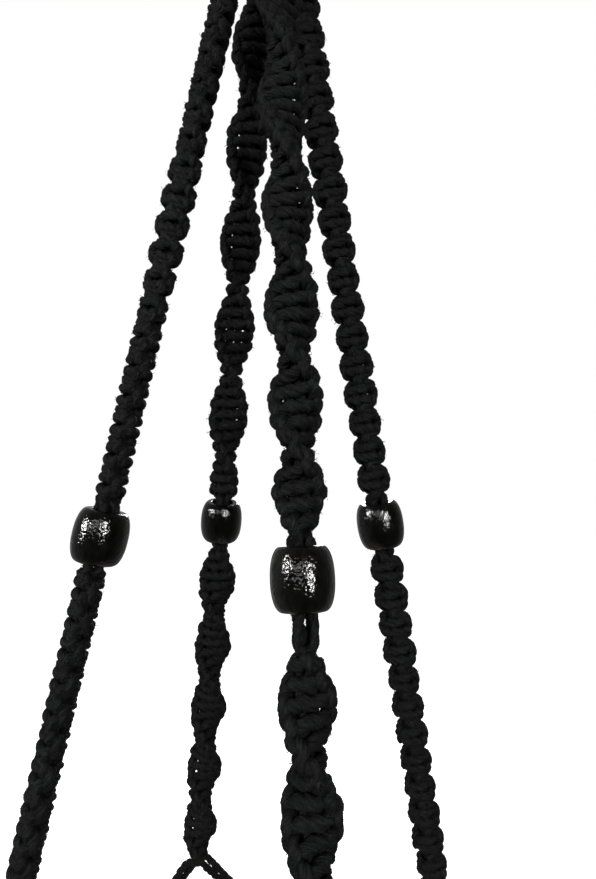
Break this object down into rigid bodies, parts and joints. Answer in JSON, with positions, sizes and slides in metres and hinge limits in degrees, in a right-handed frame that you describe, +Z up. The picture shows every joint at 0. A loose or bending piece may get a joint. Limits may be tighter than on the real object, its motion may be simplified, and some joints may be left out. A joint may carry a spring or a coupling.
{
  "type": "hanging macrame planter",
  "caption": "Hanging planter: knotted black cord arms with dark wooden beads spread from a ring down to a netted basket that holds a tapered pot, ending in a tassel.",
  "frame": {"origin": "where the hook bears on the inside of the ring's top; everything hangs below it", "axes": "+Z up along the hanger's middle, -Y towards the front spiral arm, +X towards the right flat arm"},
  "size_m": [0.2039, 0.208, 1.013],
  "materials": {
    "cord": "matte twisted cotton cord, black, slightly hairy",
    "bead_lacquer": "glossy black lacquer on wood",
    "ring_steel": "plain bright steel",
    "pot_glaze": "off-white satin glaze"
  },
  "bodies": {
    "ring": {"hanging_ring": "ring_steel"},
    "hanger": {"ring_cord_fold": "cord", "top_cord_bundle": "cord", "top_wrap": "cord", "front_upper_sennit": "cord", "front_bead_cords": "cord", "front_lower_sennit": "cord", "right_upper_sennit": "cord", "right_bead_cords": "cord", "right_lower_sennit": "cord", "rear_upper_sennit": "cord", "rear_bead_cords": "cord", "rear_lower_sennit": "cord", "left_upper_sennit": "cord", "left_bead_cords": "cord", "left_lower_sennit": "cord", "front_pair_to_front_left": "cord", "front_pair_to_front_right": "cord", "right_pair_to_front_right": "cord", "right_pair_to_rear_right": "cord", "rear_pair_to_rear_right": "cord", "rear_pair_to_rear_left": "cord", "left_pair_to_rear_left": "cord", "left_pair_to_front_left": "cord", "front_right_basket_knot": "cord", "front_right_basket_leg": "cord", "rear_right_basket_knot": "cord", "rear_right_basket_leg": "cord", "rear_left_basket_knot": "cord", "rear_left_basket_leg": "cord", "front_left_basket_knot": "cord", "front_left_basket_leg": "cord", "bottom_cord_bundle": "cord", "bottom_wrap": "cord"},
    "front_bead": {"front_bead": "bead_lacquer"},
    "right_bead": {"right_bead": "bead_lacquer"},
    "rear_bead": {"rear_bead": "bead_lacquer"},
    "left_bead": {"left_bead": "bead_lacquer"},
    "pot": {"pot": "pot_glaze"},
    "tassel": {"tassel": "cord"}
  },
  "joints": [
    {"name": "ring_swing", "type": "hinge", "parent": "ring", "child": "hanger", "pos_m": [0, 0, -0.0525], "axis": [1, 0, 0], "range_deg": [-40, 40]},
    {"name": "front_bead_slide", "type": "slide", "parent": "hanger", "child": "front_bead", "axis": [0, 0.1928, 0.9812], "range_m": [-0.0095, 0.0025]},
    {"name": "right_bead_slide", "type": "slide", "parent": "hanger", "child": "right_bead", "axis": [-0.1928, 0, 0.9812], "range_m": [-0.0025, 0.0025]},
    {"name": "rear_bead_slide", "type": "slide", "parent": "hanger", "child": "rear_bead", "axis": [0, -0.1928, 0.9812], "range_m": [-0.0025, 0.0025]},
    {"name": "left_bead_slide", "type": "slide", "parent": "hanger", "child": "left_bead", "axis": [0.1928, 0, 0.9812], "range_m": [-0.0025, 0.0025]},
    {"name": "pot_turn", "type": "hinge", "parent": "hanger", "child": "pot", "pos_m": [0, 0, -0.68], "axis": [0, 0, 1], "continuous": true},
    {"name": "tassel_swing", "type": "hinge", "parent": "hanger", "child": "tassel", "pos_m": [0, 0, -0.8443], "axis": [1, 0, 0], "range_deg": [-35, 35]}
  ]
}
